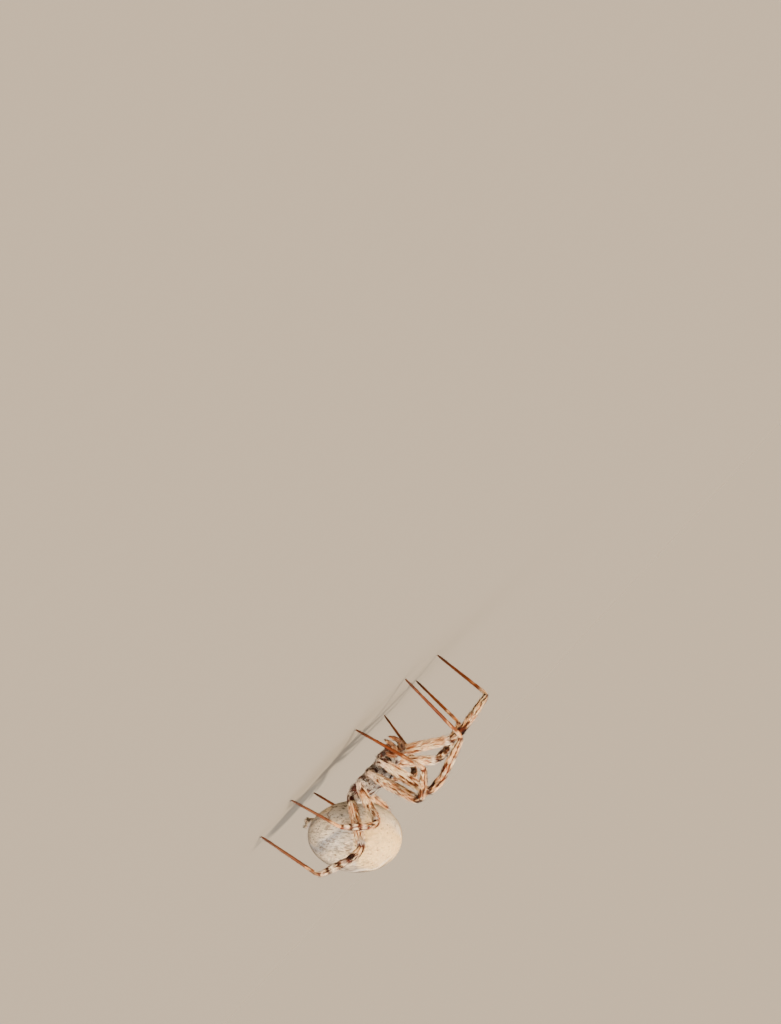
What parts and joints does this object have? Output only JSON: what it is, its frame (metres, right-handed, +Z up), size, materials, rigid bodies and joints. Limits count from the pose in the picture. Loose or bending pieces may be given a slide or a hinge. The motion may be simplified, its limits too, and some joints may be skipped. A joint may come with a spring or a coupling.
{
  "type": "coneweb spider",
  "caption": "Adult female coneweb spider in life size, a still model standing on its feet with one round pale abdomen, long banded legs and a grey-haired front body.",
  "frame": {"origin": "on the floor under the middle of the spider's box", "axes": "-Y is the way the spider faces, +X is her left side and +Z is up"},
  "size_m": [0.0176, 0.0172, 0.0084],
  "materials": {
    "grey_hair": "short grey-white hair lying flat over chestnut cuticle",
    "cream_hair": "close cream down with grey bands and fine brown dots",
    "straw_leg": "straw hair streaked chestnut, dark brown at the joints",
    "chestnut_cuticle": "bare chestnut cuticle with a soft gloss",
    "eye_lens": "polished dark lens"
  },
  "bodies": {
    "root": {"cephalothorax": "grey_hair", "abdomen": "cream_hair", "spinnerets": "chestnut_cuticle", "chelicerae": "chestnut_cuticle", "eye_front_1": "eye_lens", "eye_front_2": "eye_lens", "eye_left_1": "eye_lens", "eye_left_2": "eye_lens", "eye_right_1": "eye_lens", "eye_right_2": "eye_lens", "palp_left": "straw_leg", "palp_right": "straw_leg", "leg_left_1": "straw_leg", "leg_left_2": "straw_leg", "leg_left_3": "straw_leg", "leg_left_4": "straw_leg", "leg_right_1": "straw_leg", "leg_right_2": "straw_leg", "leg_right_3": "straw_leg", "leg_right_4": "straw_leg"}
  },
  "joints": []
}
